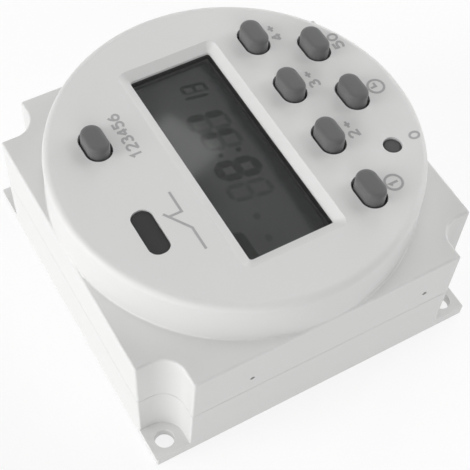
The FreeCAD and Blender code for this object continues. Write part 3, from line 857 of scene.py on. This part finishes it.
def bar(start, end, thick, gap):
    """Six-cornered bar between two points, its ends pointed over half its thickness."""
    start = np.array(start, float)
    end = np.array(end, float)
    along = (end - start) / np.linalg.norm(end - start)
    reach = along * thick / 2
    across = np.array([-along[1], along[0]]) * thick / 2
    first = start + along * gap
    last = end - along * gap
    corners = [first, first + reach - across, last - reach - across]
    corners += [last, last - reach + across, first + reach + across]
    return np.stack(corners)


def figure_bars(figures, slant, wider=0.0, longer=0.0):
    """Outlines of the bars of several figures, leaned by slant: x grows by y times its tangent.

    wider is added to the thickness of each bar, longer to its length at both ends.
    """
    outlines = []
    for letters, x, y, wide, tall, thick in figures:
        size = np.array([wide, tall])
        for letter in letters:
            start, end = SEGMENTS[letter]
            outline = bar(start * size, end * size, thick + wider, thick * BAR_END_GAP - longer)
            outline[:, 0] += outline[:, 1] * math.tan(slant)
            outlines.append(outline + np.array([x, y]))
    return outlines


def oval(x, y, half_x, half_y):
    """Outline of a round or oval mark."""
    return arc(x, y, half_x, half_y, 0, 360, OVAL_POINTS + 1)[:-1]


def rounded_bar(x, y, half_length, radius, more=0.0):
    """Outline of a level bar with round ends, more wider to each side."""
    reach = half_length - radius
    right = arc(x + reach, y, radius + more, radius + more, -90, 90)
    left = arc(x - reach, y, radius + more, radius + more, 90, 270)
    return np.vstack([right, left])


def on_glass(outlines, lift):
    """Thin prisms on the display glass, from outlines in millimetres as they are seen through the lens."""
    low = GLASS_Z + lift
    return joined([prism((outline + LENS_SHIFT) * MM, low, low + FIGURE_T) for outline in outlines])


# Operators


class TIMER_OT_case(bpy.types.Operator):
    """Gives the cover and the base their moulded plastic"""

    bl_idname = "timer.case"
    bl_label = "Case"

    def execute(self, context):
        dress(white_abs(context.scene.timer_case), "front_cover", "rear_base")
        return {"FINISHED"}


class TIMER_OT_keys(bpy.types.Operator):
    """Makes the eight rubber keys, the folding skirt under each, and dresses their mats and contact pills"""

    bl_idname = "timer.keys"
    bl_label = "Keys"

    def execute(self, context):
        settings = context.scene.timer_keys
        silicone = grey_silicone(settings)
        dark = dark_silicone(settings)
        for name in KEY_NAMES:
            if name == SUNK_KEY:
                rubber, slot, numbers = dark, "dark_key", (SUNK_EDGE, 0.0, 0.0)
            else:
                rubber, slot = silicone, "key"
                numbers = settings.edge, settings.crown, settings.crown_across
            shape = key_shape("key_" + name, *numbers)
            add_piece("cap_" + name, shape, name + "_key", rubber, ["key_" + name], CROWN_SHARP)
        dress(carbon(), *["pill_" + name for name in KEY_NAMES])
        dress(silicone, "keypad_mat_lower", "keypad_mat_upper")
        for name in KEY_NAMES:
            skirt = add_piece("skirt_" + name, skirt_shape(name), "case", silicone, ["web_" + name])
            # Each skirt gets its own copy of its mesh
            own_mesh(skirt)
        return {"FINISHED"}


class TIMER_OT_print(bpy.types.Operator):
    """Prints the plain figures and signs on the face"""

    bl_idname = "timer.print_marks"
    bl_label = "Print"

    def execute(self, context):
        settings = context.scene.timer_print
        add_piece("face_print", joined(print_shapes(settings)), "case", grey_ink(settings))
        return {"FINISHED"}


class TIMER_OT_display(bpy.types.Operator):
    """Makes the display's figures and dresses its glass, cover lens, holder, backing and contact strips"""

    bl_idname = "timer.display"
    bl_label = "Display"

    def execute(self, context):
        settings = context.scene.timer_display
        lit = figure_bars(LIT, settings.slant)
        lit += [oval(*mark) for mark in MARKS]
        lit += [rounded_bar(*numbers) for numbers in BARS]
        # Each lit bar throws a soft shadow on the reflector behind it, drawn wider and longer than the bar
        shadow = figure_bars(LIT, settings.slant, SHADOW_WIDER, SHADOW_LONGER)
        shadow += [rounded_bar(*numbers, more=SHADOW_LONGER) for numbers in BARS]
        unlit = figure_bars(UNLIT, settings.slant)
        unlit += [oval(*mark) for mark in FAINT_MARKS]
        black = crystal("crystal_lit", settings.figure, "#292A29")
        faint = crystal("crystal_unlit", settings.ghost, "#474847")
        soft = crystal("crystal_shadow", settings.shadow, "#3C3D3C")
        add_piece("display_figures_lit", on_glass(lit, LIT_LIFT), "case", black)
        add_piece("display_figures_shadow", on_glass(shadow, SHADOW_LIFT), "case", soft)
        add_piece("display_figures_unlit", on_glass(unlit, FAINT_LIFT), "case", faint)
        dress(polarised_glass(settings), "display_front_glass", "display_rear_glass")
        dress(clear_acrylic(), "display_lens")
        dress(holder_plastic(), "display_holder")
        dress(dark_foam(), "display_backing")
        dress(black_elastomer(), "contact_strip_lower", "contact_strip_upper")
        return {"FINISHED"}


class TIMER_OT_lamp(bpy.types.Operator):
    """Gives the lamp slot its smoked lens and the lamp its body"""

    bl_idname = "timer.lamp"
    bl_label = "Lamp"

    def execute(self, context):
        dress(smoked_polycarbonate(), "lamp_lens")
        dress(lamp_epoxy(), "lamp_led")
        return {"FINISHED"}


class TIMER_OT_boards(bpy.types.Operator):
    """Gives the circuit boards and the parts on them their finishes"""

    bl_idname = "timer.boards"
    bl_label = "Boards"

    def execute(self, context):
        for name, first, second, patch, grain, roughness, ior, nodes in BOARD_FINISHES:
            colours = linear(first), linear(second)
            sizes = {"patch": patch * MM, "grain": grain * MM}
            dress(mottled(name, *colours, **sizes, roughness=roughness, ior=ior), *nodes)
        return {"FINISHED"}


class TIMER_OT_metals(bpy.types.Operator):
    """Gives the blades, screws, crystal and cell their metals"""

    bl_idname = "timer.metals"
    bl_label = "Metals"

    def execute(self, context):
        dress(tinned_brass(), "crystal", *["terminal_%d" % number for number in range(1, 6)])
        dress(zinc_steel(), "backup_cell", "board_screws", "power_screws")
        return {"FINISHED"}


# Stage


def facing(place):
    """x and z axes of a lamp whose light falls on LAMP_AIM: z points away from it and x lies level."""
    z = np.array(place) - np.array(LAMP_AIM)
    z /= np.linalg.norm(z)
    x = np.cross([0.0, 0.0, 1.0], z)
    return x / np.linalg.norm(x), z


def level(turn):
    """x and z axes of a lamp that shines straight down, turned about the vertical."""
    return np.array([math.cos(turn), math.sin(turn), 0.0]), np.array([0.0, 0.0, 1.0])


def add_lamp(scene, name, energy, size, place, axes):
    """Rectangular lamp, turned by its x and z axes."""
    lamp = bpy.data.lights.new(name, "AREA")
    lamp.shape = "RECTANGLE"
    lamp.energy = energy
    lamp.size = size[0]
    lamp.size_y = size[1]
    x, z = axes
    turned = np.eye(4)
    turned[:3, :3] = np.stack([x, np.cross(z, x), z], axis=1)
    turned[:3, 3] = place
    holder = bpy.data.objects.new(name, lamp)
    holder.matrix_world = Matrix(turned.tolist())
    scene.collection.objects.link(holder)


def add_floor(scene, settings):
    """Wide flat slab under the object, its top at height 0."""
    half = FLOOR_HALF
    points, faces = prism(line((-half, -half), (half, -half), (half, half), (-half, half)), -FLOOR_T, 0.0)
    floor = bpy.data.objects.new("floor", bpy.data.meshes.new("floor"))
    floor.data.from_pydata(points.tolist(), [], faces)
    floor.data.materials.append(lit_table(settings))
    scene.collection.objects.link(floor)


def add_world(scene, settings):
    """Weak white light from all round."""
    world = bpy.data.worlds.new("studio")
    world.use_nodes = True
    tree = world.node_tree
    tree.nodes.clear()
    sky = add_node(tree, "ShaderNodeBackground", {"Color": (1, 1, 1, 1), "Strength": settings.ambient})
    add_node(tree, "ShaderNodeOutputWorld", links={"Surface": sky.outputs["Background"]})
    scene.world = world


def add_camera(scene, settings):
    """Camera at the photograph's viewing angle."""
    camera = bpy.data.cameras.new("camera")
    camera.sensor_width = SENSOR_MM
    camera.lens = settings.lens
    camera.clip_start = CLIP_NEAR
    camera.clip_end = CLIP_FAR
    holder = bpy.data.objects.new("camera", camera)
    holder.matrix_world = Matrix(CAMERA_PLACE)
    scene.collection.objects.link(holder)
    scene.camera = holder


class TIMER_OT_stage(bpy.types.Operator):
    """Makes the pale floor, the soft lights and the camera"""

    bl_idname = "timer.stage"
    bl_label = "Stage"

    def execute(self, context):
        scene = context.scene
        settings = scene.timer_stage
        add_floor(scene, settings)
        add_world(scene, settings)
        for name, setting, share, place in LAMPS:
            add_lamp(scene, name, share * getattr(settings, setting), LAMP_SIZE, place, facing(place))
        add_lamp(scene, "glint_card", settings.glint_power, CARD_SIZE, CARD_PLACE, level(CARD_TURN))
        add_camera(scene, settings)
        scene.view_settings.view_transform = "Standard"
        return {"FINISHED"}


# Panel and registration

STEPS = ("case", "keys", "print_marks", "display", "lamp", "boards", "metals", "stage")
GROUPS = ("timer_case", "timer_keys", "timer_print", "timer_display", "timer_stage")


class TIMER_PT_panel(bpy.types.Panel):
    """Sizes, colours and build steps of the timer switch"""

    bl_idname = "TIMER_PT_panel"
    bl_label = "Timer Switch"
    bl_space_type = "VIEW_3D"
    bl_region_type = "UI"
    bl_category = "Timer Switch"

    def draw(self, context):
        for group in GROUPS:
            box = self.layout.box()
            settings = getattr(context.scene, group)
            for name in settings.__annotations__:
                box.prop(settings, name)
        for step in STEPS:
            self.layout.operator("timer." + step)


SETTINGS = (
    TimerCaseSettings,
    TimerKeySettings,
    TimerPrintSettings,
    TimerDisplaySettings,
    TimerStageSettings,
)
CLASSES = SETTINGS + (
    TIMER_OT_case,
    TIMER_OT_keys,
    TIMER_OT_print,
    TIMER_OT_display,
    TIMER_OT_lamp,
    TIMER_OT_boards,
    TIMER_OT_metals,
    TIMER_OT_stage,
    TIMER_PT_panel,
)


def register():
    """Registers the classes and hangs the settings on the scene."""
    for made in CLASSES:
        bpy.utils.register_class(made)
    for group, made in zip(GROUPS, SETTINGS):
        setattr(bpy.types.Scene, group, bpy.props.PointerProperty(type=made))


def unregister():
    """Takes the settings and the classes away again."""
    for group in GROUPS:
        delattr(bpy.types.Scene, group)
    for made in reversed(CLASSES):
        bpy.utils.unregister_class(made)


def main():
    """Builds every piece in order."""
    register()
    for step in STEPS:
        getattr(bpy.ops.timer, step)()


if __name__ == "__main__":
    main()
